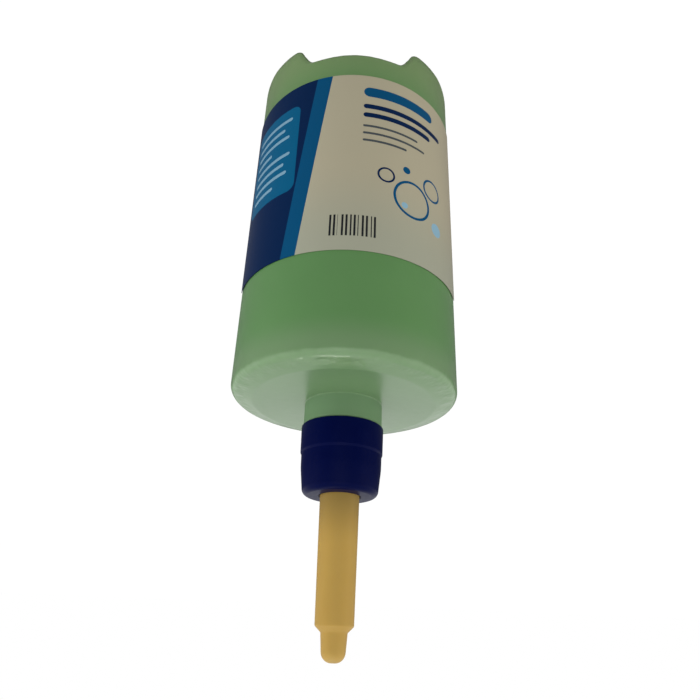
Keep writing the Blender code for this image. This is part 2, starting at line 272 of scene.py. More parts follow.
class Signal:
    """A socket whose arithmetic adds Math nodes to its node tree."""

    def __init__(self, sheet: "Sheet", socket: bpy.types.NodeSocket) -> None:
        """Keeps the sheet of nodes and the socket."""
        self.sheet = sheet
        self.socket = socket

    def math(self, operation: str, *values: "Signal | float") -> "Signal":
        """Adds one Math node.

        Args:
            operation: The node's operation.
            values: Values of its sockets, in order.

        Returns:
            The node's result.
        """
        return self.sheet.add("ShaderNodeMath", {"operation": operation}, dict(enumerate(values)))

    def __add__(self, other: "Signal | float") -> "Signal":
        """Sum."""
        return self.math("ADD", self, other)

    __radd__ = __add__

    def __sub__(self, other: "Signal | float") -> "Signal":
        """Difference."""
        return self.math("SUBTRACT", self, other)

    def __rsub__(self, other: float) -> "Signal":
        """Difference from a number."""
        return self.math("SUBTRACT", other, self)

    def __mul__(self, other: "Signal | float") -> "Signal":
        """Product."""
        return self.math("MULTIPLY", self, other)

    def __truediv__(self, other: float) -> "Signal":
        """Quotient."""
        return self.math("DIVIDE", self, other)

    def __gt__(self, other: "Signal | float") -> "Signal":
        """1 where this is larger."""
        return self.math("GREATER_THAN", self, other)

    def __lt__(self, other: "Signal | float") -> "Signal":
        """1 where this is smaller."""
        return self.math("LESS_THAN", self, other)

    def between(self, low: "Signal | float", high: "Signal | float") -> "Signal":
        """1 from low to high."""
        return (self > low) * (self < high)

    def around(self, middle: float, swing: float) -> "Signal":
        """Noise of 0 to 1 turned into values around a middle."""
        return middle + (self - NOISE_MIDDLE) * swing

    def ramp(self, low: float, high: float, start: float = 0.0, end: float = 1.0) -> "Signal":
        """Smooth change from start to end as this goes from low to high."""
        return self.sheet.add(
            "ShaderNodeMapRange",
            {"interpolation_type": "SMOOTHSTEP"},
            {"Value": self, "From Min": low, "From Max": high, "To Min": start, "To Max": end},
        )


@dataclass(frozen=True)
class Grain:
    """Noise whose features are size mm across, stretched along an axis."""

    size: float
    detail: float = 2.0
    stretch: Point = (1.0, 1.0, 1.0)


@dataclass(frozen=True)
class Relief:
    """Depth of a bump in mm, and its strength."""

    depth: float
    strength: float


class Sheet:
    """A node tree that is filled through signals."""

    def __init__(self, tree: bpy.types.NodeTree) -> None:
        """Keeps the tree."""
        self.tree = tree

    def add(
        self,
        kind: str,
        settings: dict[str, object],
        inputs: dict[object, object],
        output: object = 0,
    ) -> Signal:
        """Adds a node.

        Args:
            kind: The node's type.
            settings: Its own settings, which are set first.
            inputs: Values or links of its sockets, by name or number.
            output: Name or number of the socket to return.

        Returns:
            That output as a signal.
        """
        node = self.tree.nodes.new(kind)
        for name, value in settings.items():
            setattr(node, name, value)
        for name, value in inputs.items():
            self.set_input(node.inputs[name], value)
        return Signal(self, node.outputs[output])

    def set_input(self, socket: bpy.types.NodeSocket, value: object) -> None:
        """Links a signal to a socket, or sets its value."""
        if isinstance(value, Signal):
            self.tree.links.new(value.socket, socket)
        else:
            socket.default_value = value

    def mix(
        self, factor: Signal | float, first: Signal | Colour, second: Signal | Colour
    ) -> Signal:
        """Colour between two others."""
        sides = [side if isinstance(side, Signal) else linear(side) for side in (first, second)]
        inputs = {
            MixSocket.FACTOR.value: factor,
            MixSocket.FIRST.value: sides[0],
            MixSocket.SECOND.value: sides[1],
        }
        return self.add(
            "ShaderNodeMix", {"data_type": "RGBA"}, inputs, MixSocket.RESULT.value
        )


class MaterialSheet(Sheet):
    """The node tree of one material, which starts as a plain Principled shader."""

    def __init__(self, name: str) -> None:
        """Makes the material with its shader and output."""
        self.material = bpy.data.materials.new(name)
        self.material.use_nodes = True
        super().__init__(self.material.node_tree)
        self.shader = self.tree.nodes["Principled BSDF"]

    def set(self, **inputs: object) -> None:
        """Sets the shader's sockets, whose names have _ for a space."""
        for name, value in inputs.items():
            self.set_input(self.shader.inputs[name.replace("_", " ")], value)

    def spot(self) -> Signal:
        """The piece's own coordinates as a vector in metres."""
        return self.add("ShaderNodeTexCoord", {}, {}, "Object")

    def along(self, spot: Signal, axis: str) -> Signal:
        """One coordinate of a vector, in mm."""
        return self.add("ShaderNodeSeparateXYZ", {}, {"Vector": spot}, axis) / MM

    def noise(self, spot: Signal, grain: Grain) -> Signal:
        """Noise of about 0 to 1."""
        scale = tuple(1 / (MM * part) for part in grain.stretch)
        scaled = self.add("ShaderNodeMapping", {}, {"Vector": spot, "Scale": scale})
        return self.add(
            "ShaderNodeTexNoise",
            {},
            {"Vector": scaled, "Scale": 1 / grain.size, "Detail": grain.detail},
            "Fac",
        )

    def bump(self, height: Signal, relief: Relief) -> Signal:
        """Normal of a surface with this height of about 0 to 1."""
        return self.add(
            "ShaderNodeBump",
            {},
            {"Height": height, "Distance": relief.depth * MM, "Strength": relief.strength},
            "Normal",
        )


@dataclass(frozen=True)
class MilkyWall:
    """Natural polyethylene over green soap: satin, paler above the soap and at the feet, with
    painted shade on the collar.

    Each span gives the heights in mm between which the look changes.
    """

    soap_green: Colour = (88, 131, 78)
    deep_green: Colour = (82, 124, 73)
    head_green: Colour = (101, 132, 92)
    # Darker green of the collar: painted shade, where the collar stands in less light.
    collar_shade_green: Colour = (89, 118, 84)
    foot_green: Colour = (113, 138, 92)
    foot_fade: Span = (46.0, 12.0)
    foot_share: float = 0.9
    head_fade: Span = (151.5, 165.5)
    collar_fade: Span = (171.1, 171.9)
    cloud: Grain = Grain(26.0, 3.0)
    roughness: float = 0.30
    unevenness: float = 0.10
    collar_roughness: float = 0.4
    scuff: Grain = Grain(3.0, 4.0, (1.0, 1.0, 4.0))
    coat: float = 0.30
    wave: Grain = Grain(9.0)
    wave_height: float = 0.8
    grain: Grain = Grain(0.8)
    grain_height: float = 0.2
    crease: Grain = Grain(6.5, 2.0, (1.0, 1.0, 1.6))
    crease_height: float = 16.0
    crease_start: Span = (164.5, 168.5)
    crease_end: Span = (169.7, 171.0)
    relief: Relief = Relief(0.12, 0.5)

    def make(self) -> bpy.types.Material:
        """Builds the material."""
        sheet = MaterialSheet("milky_wall")
        spot = sheet.spot()
        z = sheet.along(spot, "Z")
        collar = z.ramp(*self.collar_fade)
        green = sheet.mix(sheet.noise(spot, self.cloud), self.soap_green, self.deep_green)
        green = sheet.mix(z.ramp(*self.foot_fade, 0.0, self.foot_share), green, self.foot_green)
        green = sheet.mix(z.ramp(*self.head_fade), green, self.head_green)
        # Painted shade: the collar is darkened.
        green = sheet.mix(collar, green, self.collar_shade_green)
        rough = sheet.noise(spot, self.scuff).around(self.roughness, self.unevenness)
        edge = z.ramp(*self.crease_start) * (1.0 - z.ramp(*self.crease_end))
        crease = edge * (sheet.noise(spot, self.crease) - NOISE_MIDDLE)
        relief = sheet.noise(spot, self.wave) * self.wave_height
        relief = relief + sheet.noise(spot, self.grain) * self.grain_height
        relief = relief + crease * self.crease_height
        sheet.set(
            Base_Color=green,
            Roughness=rough + collar * self.collar_roughness,
            Normal=sheet.bump(relief, self.relief),
            Subsurface_Weight=0.15,
            Subsurface_Scale=0.004,
            Subsurface_Radius=(0.6, 1.0, 0.5),
            Coat_Weight=(1.0 - collar) * self.coat,
            Coat_Roughness=0.25,
        )
        return sheet.material


@dataclass(frozen=True)
class Patch:
    """Painted rectangle with round corners on the unrolled film, in mm."""

    paint: Colour
    left: float
    right: float
    low: float
    high: float
    corner: float

    @staticmethod
    def bar(paint: Colour, left: float, right: float, low: float, high: float) -> "Patch":
        """A patch with fully round ends."""
        return Patch(paint, left, right, low, high, (high - low) / 2)

    @staticmethod
    def past(place: Signal, start: float, end: float, corner: float) -> Signal:
        """How far a coordinate lies past the straight part of a side from start to end."""
        off = place - (start + end) / 2
        off = off.math("ABSOLUTE", off) - ((end - start) / 2 - corner)
        return off.math("MAXIMUM", off, 0.0)

    def mask(self, across: Signal, z: Signal) -> Signal:
        """1 inside the patch."""
        side = self.past(across, self.left, self.right, self.corner)
        rise = self.past(z, self.low, self.high, self.corner)
        return (side * side + rise * rise) < self.corner * self.corner


@dataclass(frozen=True)
class Bubble:
    """Painted ring on the unrolled film, or a dot if it has no inner radius, in mm."""

    paint: Colour
    middle: float
    height: float
    inner: float
    outer: float

    def mask(self, across: Signal, z: Signal) -> Signal:
        """1 inside the ring."""
        side = across - self.middle
        rise = z - self.height
        reach = side * side + rise * rise
        return reach.between(self.inner * self.inner - DOT_MARGIN, self.outer * self.outer)


@dataclass(frozen=True)
class Comb:
    """Evenly spaced stripes on the unrolled film, each filling a share of the pitch."""

    left: float
    pitch: float
    fill: float

    def mask(self, across: Signal) -> Signal:
        """1 on the stripes."""
        steps = (across - self.left) / self.pitch
        return steps.math("FRACT", steps) < self.fill


@dataclass(frozen=True)
class PrintedFilm:
    """Varnished film with plain colour fields, rows of bars and bubbles. Places in mm."""

    cream: Colour = (163, 157, 135)
    cream_shade: Colour = (148, 143, 121)
    # Painted shade: the cream darkens towards the shoulder end.
    shaded_cream: Colour = (150, 152, 135)
    navy: Colour = (4, 30, 66)
    azure: Colour = (6, 70, 108)
    pale: Colour = (128, 164, 182)
    grey: Colour = (66, 72, 76)
    radius: float = 47.4
    # Heights over which the painted shade darkens the cream.
    shade_fade: Span = (80.0, 124.0)
    cloud: Grain = Grain(14.0)
    cloud_share: float = 0.12
    # Slanted fields: their edge at a height, its lean and the width of the azure one.
    field_edge: float = -10.0
    field_height: float = 30.0
    field_lean: float = 0.12
    azure_width: float = 7.0
    # Panel and its plain rows.
    panel: Patch = Patch((6, 82, 118), -58.0, -25.0, 44.0, 92.0, 4.0)
    row_left: float = -54.0
    row_low: float = 49.5
    row_pitch: float = 5.0
    row_height: float = 1.8
    row_share: float = 0.75
    row_lengths: tuple[float, ...] = (25.0, 21.0, 24.0, 13.0, 25.0, 22.0, 24.0, 16.0)
    # Bars and bubbles of the cream side.
    shapes: tuple[Patch | Bubble, ...] = (
        Patch.bar(azure, 4.0, 40.0, 39.0, 44.5),
        Patch.bar(navy, 4.0, 46.0, 49.0, 51.6),
        Patch.bar(navy, 4.0, 38.0, 54.0, 56.6),
        Patch.bar(grey, 4.0, 30.0, 61.0, 62.2),
        Patch.bar(grey, 4.0, 34.0, 65.0, 66.2),
        Patch.bar(grey, 4.0, 24.0, 69.0, 70.2),
        Bubble(azure, 27.0, 95.0, 8.2, 9.4),
        Bubble(azure, 38.5, 84.0, 4.6, 5.6),
        Bubble(navy, 14.5, 86.5, 3.0, 3.9),
        Bubble(pale, 41.0, 103.0, 0.0, 3.2),
        Bubble(azure, 24.0, 80.5, 0.0, 1.8),
        Bubble(pale, 22.9, 99.2, 0.0, 1.5),
    )
    # Block of plain stripes, drawn where both combs have one.
    block: Patch = Patch((30, 32, 34), -8.0, 11.0, 109.0, 119.0, 0.3)
    fine_comb: Comb = Comb(-8.0, 1.6, 0.52)
    wide_comb: Comb = Comb(-8.0, 4.1, 0.82)
    roughness: float = 0.30
    unevenness: float = 0.08
    fibre: Grain = Grain(0.5, 3.0)
    relief: Relief = Relief(0.01, 0.4)

    def make(self) -> bpy.types.Material:
        """Builds the material."""
        sheet = MaterialSheet("printed_film")
        spot = sheet.spot()
        x, y, z = (sheet.along(spot, axis) for axis in "XYZ")
        across = x.math("ARCTAN2", x, 0.0 - y) * -self.radius
        fibre = sheet.noise(spot, self.fibre)
        cloud = sheet.noise(spot, self.cloud) * self.cloud_share
        colour = sheet.mix(cloud, self.cream, self.cream_shade)
        # Painted shade towards the shoulder end of the film.
        colour = sheet.mix(z.ramp(*self.shade_fade), colour, self.shaded_cream)
        colour = self.blue_side(sheet, colour, across, z)
        colour = self.pale_side(sheet, colour, across, z)
        sheet.set(
            Base_Color=colour,
            Roughness=fibre.around(self.roughness, self.unevenness),
            Normal=sheet.bump(fibre, self.relief),
            Coat_Weight=0.03,
            Coat_Roughness=0.12,
            Specular_IOR_Level=0.06,
        )
        return sheet.material

    def blue_side(self, sheet: Sheet, colour: Signal, across: Signal, z: Signal) -> Signal:
        """Adds the slanted azure and navy fields and the panel with its plain rows."""
        edge = self.field_edge - (z - self.field_height) * self.field_lean
        colour = sheet.mix(across < edge, colour, self.azure)
        colour = sheet.mix(across < edge - self.azure_width, colour, self.navy)
        colour = sheet.mix(self.panel.mask(across, z), colour, self.panel.paint)
        left = self.row_left
        for number, length in enumerate(self.row_lengths):
            low = self.row_low + self.row_pitch * number
            high = low + self.row_height
            row = Patch(self.pale, left, left + length, low, high, self.row_height / 2)
            colour = sheet.mix(row.mask(across, z) * self.row_share, colour, row.paint)
        return colour

    def pale_side(self, sheet: Sheet, colour: Signal, across: Signal, z: Signal) -> Signal:
        """Adds plain bars, a group of bubbles and a block of stripes."""
        for shape in self.shapes:
            colour = sheet.mix(shape.mask(across, z), colour, shape.paint)
        stripes = self.fine_comb.mask(across) * self.wide_comb.mask(across)
        return sheet.mix(stripes * self.block.mask(across, z), colour, self.block.paint)


@dataclass(frozen=True)
class NavyCap:
    """Navy polypropylene, satin and faintly scuffed."""

    navy: Colour = (0, 5, 47)
    worn: Colour = (3, 11, 55)
    cloud: Grain = Grain(5.0, 3.0)
    cloud_share: float = 0.5
    roughness: float = 0.36
    unevenness: float = 0.14
    scuff: Grain = Grain(1.6, 5.0, (1.0, 1.0, 3.0))
    grain: Grain = Grain(0.35)
    relief: Relief = Relief(0.012, 0.5)

    def make(self) -> bpy.types.Material:
        """Builds the material."""
        sheet = MaterialSheet("navy_cap")
        spot = sheet.spot()
        cloud = sheet.noise(spot, self.cloud) * self.cloud_share
        sheet.set(
            Base_Color=sheet.mix(cloud, self.navy, self.worn),
            Roughness=sheet.noise(spot, self.scuff).around(self.roughness, self.unevenness),
            Normal=sheet.bump(sheet.noise(spot, self.grain), self.relief),
            Specular_IOR_Level=0.05,
        )
        return sheet.material


@dataclass(frozen=True)
class AmberRubber:
    """Amber latex rubber: matt, a little translucent, darker towards the cap, partly its own tone
    and partly painted shade, with painted light at the tip.

    Each span gives the heights in mm between which the colour changes.
    """

    light: Colour = (167, 137, 68)
    # Darker towards the cap: partly the rubber's own tone, partly painted shade.
    root_tone_and_shade: Colour = (128, 107, 54)
    # Lighter tip: painted light from above.
    tip: Colour = (173, 144, 78)
    brown: Colour = (156, 120, 52)
    root_tone_and_shade_fade: Span = (208.9, 228.9)
    tip_highlight_fade: Span = (262.1, 267.1)
    cloud: Grain = Grain(7.0, 3.0)
    cloud_share: float = 0.25
    roughness: float = 0.56
    unevenness: float = 0.12
    pores: Grain = Grain(0.45, 3.0)
    relief: Relief = Relief(0.02, 0.6)

    def make(self) -> bpy.types.Material:
        """Builds the material."""
        sheet = MaterialSheet("amber_rubber")
        spot = sheet.spot()
        z = sheet.along(spot, "Z")
        cloud = sheet.noise(spot, self.cloud) * self.cloud_share
        pores = sheet.noise(spot, self.pores)
        # Painted shade near the cap, partly the rubber's own tone.
        colour = sheet.mix(z.ramp(*self.root_tone_and_shade_fade), self.root_tone_and_shade, self.light)
        # Painted light at the tip.
        colour = sheet.mix(z.ramp(*self.tip_highlight_fade), colour, self.tip)
        sheet.set(
            Base_Color=sheet.mix(cloud, colour, self.brown),
            Roughness=pores.around(self.roughness, self.unevenness),
            Normal=sheet.bump(pores, self.relief),
            Subsurface_Weight=0.12,
            Subsurface_Scale=0.003,
            Subsurface_Radius=(1.0, 0.7, 0.3),
            Specular_IOR_Level=0.36,
        )
        return sheet.material


@dataclass(frozen=True)
class PalePlastic:
    """Natural polyethylene of the inlet valve."""

    pale: Colour = (226, 226, 220)
    shade: Colour = (214, 214, 206)
    cloud: Grain = Grain(4.0)
    roughness: float = 0.40
    unevenness: float = 0.08
    grain: Grain = Grain(0.4)
    relief: Relief = Relief(0.01, 0.4)

    def make(self) -> bpy.types.Material:
        """Builds the material."""
        sheet = MaterialSheet("pale_plastic")
        spot = sheet.spot()
        grain = sheet.noise(spot, self.grain)
        sheet.set(
            Base_Color=sheet.mix(sheet.noise(spot, self.cloud), self.pale, self.shade),
            Roughness=grain.around(self.roughness, self.unevenness),
            Normal=sheet.bump(grain, self.relief),
        )
        return sheet.material


@dataclass(frozen=True)
class BallSteel:
    """Polished stainless steel of the valve ball, with faint darker scratches."""

    bright: Colour = (200, 202, 205)
    scratched: Colour = (180, 182, 186)
    scratch: Grain = Grain(0.5, 5.0, (1.0, 6.0, 1.0))
    scratch_share: float = 0.3
    roughness: float = 0.12
    scratch_roughness: float = 0.10

    def make(self) -> bpy.types.Material:
        """Builds the material."""
        sheet = MaterialSheet("ball_steel")
        scratch = sheet.noise(sheet.spot(), self.scratch)
        sheet.set(
            Base_Color=sheet.mix(scratch * self.scratch_share, self.bright, self.scratched),
            Metallic=1.0,
            Roughness=self.roughness + scratch * self.scratch_roughness,
        )
        return sheet.material


@dataclass(frozen=True)
class GreenSoap:
    """The liquid soap, opaque and glossy."""

    green: Colour = (86, 132, 78)
    pale_green: Colour = (96, 142, 88)
    cloud: Grain = Grain(30.0)

    def make(self) -> bpy.types.Material:
        """Builds the material."""
        sheet = MaterialSheet("green_soap")
        cloud = sheet.noise(sheet.spot(), self.cloud)
        sheet.set(
            Base_Color=sheet.mix(cloud, self.green, self.pale_green),
            Roughness=0.12,
            Subsurface_Weight=0.2,
            Subsurface_Scale=0.01,
        )
        return sheet.material


@dataclass
class Bottle:
    """Blow-moulded bottle: two soft feet, a flat shoulder, a collar and a neck. Sizes in mm."""

    radius: float = 47.0
    wall: float = 0.9
    segments: int = 192
    smooth_angle: float = 40.0
    # Base: its corner, the height of its joint with the wall and what is cut off above it.
    foot_corner: float = 6.5
    base_joint: float = 26.0
    base_spare: float = 8.0
    voxel: float = 0.8
    # Channel: its sizes and how far the cutter goes below the feet and past the wall.
    channel_depth: float = 17.4
    floor_width: float = 40.6
    floor_corner: float = 1.0
    foot_width: float = 55.6
    cut_below: float = 2.0
    cut_past: float = 4.0
    # Rounding of the base, which fades out under the joint, and more of it at the feet's ends.
    soften_factor: float = 0.5
    soften: int = 16
    soften_margin: float = 3.0
    soften_fade: float = 4.0
    soften_ends: int = 130
    end_reach: float = 13.0
    end_overlap: float = 1.6
    end_height: float = 19.0
    end_fade: float = 5.0
    # Weld rib on the channel's floor.
    rib_gap: float = 6.0
    rib_width: float = 0.8
    rib_sink: float = 0.1
    rib_corner: float = 0.2
    rib_segments: int = 3
    # Wall: the pitch and end of its rings, and how far from the joint an open ring lies.
    ring_pitch: int = 6
    ring_end: int = 160
    ring_margin: float = 0.1
    # Shoulder, collar and neck, whose bead snaps into the cap.
    shoulder_edge: float = 168.9
    height: float = 171.1
    face_radius: float = 38.0
    collar_radius: float = 16.0
    collar_top: float = 180.9
    neck_radius: float = 14.3
    bead_radius: float = 15.1
    bead_heights: tuple[float, ...] = (188.5, 188.9, 189.9, 191.5)
    lip_radius: float = 13.4
    lip: float = 203.4
    finish: MilkyWall = field(default_factory=MilkyWall)

    def make(self) -> bpy.types.Object:
        """Builds the bottle, replaces the CAD bottle and returns it."""
        base = self.make_base()
        bottle = self.make_wall()
        Bench.join(bottle, base)
        self.weld_rings(bottle)
        Bench.apply(bottle, "SOLIDIFY", thickness=self.wall * MM, offset=-1.0)
        Bench.join(bottle, self.make_rib())
        Bench.smooth(bottle, self.smooth_angle)
        Bench.paint(bottle, self.finish.make())
        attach(bottle, Body.PACK.value)
        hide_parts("bottle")
        return bottle

    def make_base(self) -> bpy.types.Object:
        """Builds the softened base with its channel, open at the top."""
        top = self.base_joint + self.base_spare
        path = rounded(
            [
                (0.0, 0.0, 0.0),
                (self.radius, 0.0, self.foot_corner),
                (self.radius, top, 0.0),
                (0.0, top, 0.0),
            ]
        )
        base = Bench.lathe("pack_base", path, self.segments)
        Bench.cut(base, self.make_channel())
        Bench.apply(base, "REMESH", mode="VOXEL", voxel_size=self.voxel * MM)
        self.soften_feet(base)
        Bench.edit(base)
        bpy.ops.mesh.bisect(
            plane_co=(0, 0, self.base_joint * MM),
            plane_no=(0, 0, 1),
            clear_outer=True,
            use_fill=False,
        )
        Bench.done()
        return base

    def make_channel(self) -> bpy.types.Object:
        """Builds the cutter of the channel between the feet."""
        half_floor = self.floor_width / 2
        half_foot = self.foot_width / 2
        slope = self.channel_depth / (half_foot - half_floor)
        right = rounded(
            [
                (0.0, self.channel_depth, 0.0),
                (half_floor, self.channel_depth, self.floor_corner),
                (half_foot + self.cut_below / slope, -self.cut_below, 0.0),
            ]
        )
        outline = right + [(-x, z) for x, z in reversed(right) if x > 0]
        return Bench.prism("channel", outline, self.radius + self.cut_past)

    def soften_feet(self, base: bpy.types.Object) -> None:
        """Rounds the feet and the channel as a blown wall does, most at the feet's four ends."""
        all_over = base.vertex_groups.new(name="all_over")
        ends = base.vertex_groups.new(name="ends")
        fade = self.base_joint - self.soften_margin
        for vertex in base.data.vertices:
            x, y, z = (abs(value) / MM for value in vertex.co)
            all_over.add([vertex.index], clamp((fade - z) / self.soften_fade), "REPLACE")
            flank = self.flank(z)
            away = math.hypot(x - flank, y - math.sqrt(self.radius**2 - flank**2))
            near = clamp(self.end_overlap - away / self.end_reach)
            low = clamp((self.end_height - z) / self.end_fade)
            ends.add([vertex.index], near * low, "REPLACE")
        for group, passes in (("all_over", self.soften), ("ends", self.soften_ends)):
            Bench.apply(
                base,
                "SMOOTH",
                factor=self.soften_factor,
                iterations=passes,
                vertex_group=group,
            )
        base.vertex_groups.clear()

    def flank(self, height: float) -> float:
        """Half width of the channel at a height, in mm."""
        share = min(1.0, height / self.channel_depth)
        return (self.foot_width + (self.floor_width - self.foot_width) * share) / 2

    def make_wall(self) -> bpy.types.Object:
        """Turns the straight wall, the shoulder and the neck, open at both ends."""
        rings = range(int(self.base_joint), self.ring_end, self.ring_pitch)
        bead = self.bead_heights
        path = rounded(
            [(self.radius, z, 0.0) for z in rings]
            + [
                (self.radius, self.shoulder_edge, 3.5),
                (self.face_radius, self.height, 6.0),
                (self.collar_radius, self.height, 0.15),
                (self.collar_radius, self.collar_top, 0.8),
                (self.neck_radius, self.collar_top, 0.0),
                (self.neck_radius, bead[0], 0.3),
                (self.bead_radius, bead[1], 0.2),
                (self.bead_radius, bead[2], 0.2),
                (self.neck_radius, bead[3], 0.3),
                (self.neck_radius, self.lip, 0.6),
                (self.lip_radius, self.lip, 0.0),
            ]
        )
        return Bench.lathe("pack_bottle", path, self.segments)

    def weld_rings(self, bottle: bpy.types.Object) -> None:
        """Bridges the open rings of the base and the wall."""
        Bench.edit(bottle, selected=False)
        bpy.ops.mesh.select_mode(type="EDGE")
        bpy.ops.mesh.select_non_manifold(
            extend=False, use_multi_face=False, use_non_contiguous=False
        )
        Bench.done()
        joint = self.base_joint * MM
        margin = self.ring_margin * MM
        for edge in bottle.data.edges:
            heights = [bottle.data.vertices[index].co.z for index in edge.vertices]
            if edge.select and max(abs(height - joint) for height in heights) > margin:
                edge.select = False
        bpy.ops.object.mode_set(mode="EDIT")
        bpy.ops.mesh.bridge_edge_loops()
        Bench.weld()
        Bench.done()

    def make_rib(self) -> bpy.types.Object:
        """Builds the weld rib that crosses the channel's floor, 1 mm high."""
        Bench.deselect()
        height = (self.channel_depth - self.rib_sink) * MM
        bpy.ops.mesh.primitive_cube_add(size=MM, location=(0, 0, height))
        rib = bpy.context.object
        rib.name = "weld_rib"
        Bench.edit(rib)
        bpy.ops.transform.resize(value=(self.floor_width - self.rib_gap, self.rib_width, 1.0))
        bpy.ops.mesh.bevel(
            offset=self.rib_corner * MM, segments=self.rib_segments, affect="EDGES"
        )
        Bench.done()
        bpy.ops.object.transform_apply(location=True, rotation=True, scale=True)
        return rib


@dataclass
class Label:
    """Printed film around the front of the bottle. Sizes in mm."""

    radius: float = 47.3
    thickness: float = 0.2
    width: float = 124.0
    height: float = 93.6
    base: float = 32.0
    rungs: int = 12
    segments: int = 120
    smooth_angle: float = 32.0
    finish: PrintedFilm = field(default_factory=PrintedFilm)

    def make(self) -> bpy.types.Object:
        """Builds the film, replaces the CAD film and returns it."""
        span = self.width / self.radius
        start = -math.pi / 2 + span / 2
        x, y = self.radius * math.cos(start), self.radius * math.sin(start)
        steps = range(self.rungs + 1)
        points = [(x, y, self.base + self.height * step / self.rungs) for step in steps]
        film = Bench.draw("front_label_film", points)
        bpy.ops.mesh.spin(steps=self.segments, angle=span, center=(0, 0, 0), axis=(0, 0, 1))
        Bench.weld()
        Bench.done()
        self.face_out(film)
        Bench.apply(film, "SOLIDIFY", thickness=self.thickness * MM, offset=1.0)
        Bench.smooth(film, self.smooth_angle)
        Bench.paint(film, self.finish.make())
        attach(film, Body.PACK.value)
        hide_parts("front_label")
        return film

    @staticmethod
    def face_out(film: bpy.types.Object) -> None:
        """Turns the film's faces away from the axis."""
        face = film.data.polygons[0]
        outward = Vector((face.center.x, face.center.y, 0.0))
        if face.normal.dot(outward) < 0:
            Bench.edit(film)
            bpy.ops.mesh.flip_normals()
            Bench.done()


@dataclass
class Cap:
    """Push-on cap: a stepped, tapered shell with a groove for the neck's bead.

    Sizes are in mm. The heights of the step, the waist and the groove start at the rim.
    """

    rim: float = 181.2
    height: float = 27.7
    rim_radius: float = 16.7
    step_radii: Span = (16.5, 16.1)
    step_heights: Span = (10.7, 11.6)
    waist_radius: float = 16.0
    waist_height: float = 17.0
    end_radius: float = 14.8
    end_wall: float = 1.8
    inner_radius: float = 14.6
    groove_radius: float = 15.4
    groove_heights: tuple[float, ...] = (7.0, 7.4, 9.0, 10.6)
    hole_radius: float = 8.05
    hole_chamfer: float = 0.4
    segments: int = 160
    smooth_angle: float = 38.0
    finish: NavyCap = field(default_factory=NavyCap)

    def make(self) -> bpy.types.Object:
        """Builds the cap, replaces the CAD cap and returns it."""
        end = self.rim + self.height
        inside = end - self.end_wall
        step = [self.rim + height for height in self.step_heights]
        groove = [self.rim + height for height in self.groove_heights]
        path = rounded(
            [
                (self.hole_radius, inside, 0.0),
                (self.hole_radius, end - self.hole_chamfer, 0.0),
                (self.hole_radius + self.hole_chamfer, end, 0.0),
                (self.end_radius, end, 2.6),
                (self.waist_radius, self.rim + self.waist_height, 30.0),
                (self.step_radii[1], step[1], 0.5),
                (self.step_radii[0], step[0], 0.5),
                (self.rim_radius, self.rim, 0.4),
                (self.inner_radius, self.rim, 0.3),
                (self.inner_radius, groove[0], 0.3),
                (self.groove_radius, groove[1], 0.2),
                (self.groove_radius, groove[2], 0.2),
                (self.inner_radius, groove[3], 0.3),
                (self.inner_radius, inside, 0.4),
                (self.hole_radius, inside, 0.0),
            ]
        )
        cap = Bench.lathe("push_cap", path[:-1], self.segments, closed=True)
        Bench.smooth(cap, self.smooth_angle)
        Bench.paint(cap, self.finish.make())
        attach(cap, Body.PACK.value)
        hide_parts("cap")
        return cap


@dataclass
class Tube:
    """Squeeze tube: flange, tapered bored barrel, shoulder and slit nipple. Sizes in mm."""

    seat: float = 205.0
    flange: float = 1.8
    flange_radius: float = 13.7
    root_radius: float = 7.75
    end_radius: float = 7.13
    wall: float = 1.7
    barrel_top: float = 255.2
    shoulder: float = 2.1
    shoulder_wall: float = 0.7
    nipple_root: float = 4.9
    nipple_end: float = 4.2
    nipple_length: float = 9.8
    tip_wall: float = 2.4
    bore: float = 2.4
    slit_width: float = 3.0
    slit_depth: float = 4.0
    slit_past: float = 1.0
    slit_gap: float = 0.25
    segments: int = 128
    smooth_angle: float = 38.0
    finish: AmberRubber = field(default_factory=AmberRubber)

    def make(self) -> bpy.types.Object:
        """Builds the tube, replaces the CAD tube and returns it."""
        neck = self.barrel_top + self.shoulder
        tip = neck + self.nipple_length
        path = rounded(
            [
                (0.0, tip, 0.0),
                (self.nipple_end, tip, 3.7),
                (self.nipple_root, neck, 0.9),
                (self.end_radius, self.barrel_top, 0.9),
                (self.root_radius, self.seat + self.flange, 0.4),
                (self.flange_radius, self.seat + self.flange, 0.3),
                (self.flange_radius, self.seat, 0.3),
                (self.root_radius - self.wall, self.seat, 0.3),
                (self.end_radius - self.wall, self.barrel_top - self.shoulder_wall, 0.5),
                (self.bore, neck, 0.5),
                (self.bore, tip - self.tip_wall, 0.8),
                (0.0, tip - self.tip_wall, 0.0),
            ]
        )
        tube = Bench.lathe("squeeze_rubber", path, self.segments)
        Bench.cut(tube, self.make_slit(tip))
        Bench.smooth(tube, self.smooth_angle)
        Bench.paint(tube, self.finish.make())
        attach(tube, Body.PACK.value)
        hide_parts("squeeze_tube")
        return tube

    def make_slit(self, tip: float) -> bpy.types.Object:
        """Builds the cutter of the outlet slit in the nipple's tip."""
        side = self.slit_width / 2
        low, high = tip - self.slit_depth, tip + self.slit_past
        outline = [(-side, low), (side, low), (side, high), (-side, high)]
        return Bench.prism("slit", outline, self.slit_gap / 2)


@dataclass
class Inside:
    """What the bottle and the tube hide, kept from the CAD: the soap, the seat and the ball."""

    soap: GreenSoap = field(default_factory=GreenSoap)
    seat: PalePlastic = field(default_factory=PalePlastic)
    ball: BallSteel = field(default_factory=BallSteel)

    def dress(self) -> list[str]:
        """Gives each hidden CAD node its finish.

        Returns:
            The names of the nodes.
        """
        finishes = {"liquid_soap": self.soap, "valve_seat": self.seat, "valve_ball": self.ball}
        for name, finish in finishes.items():
            Bench.paint(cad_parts[name], finish.make())
        return list(finishes)


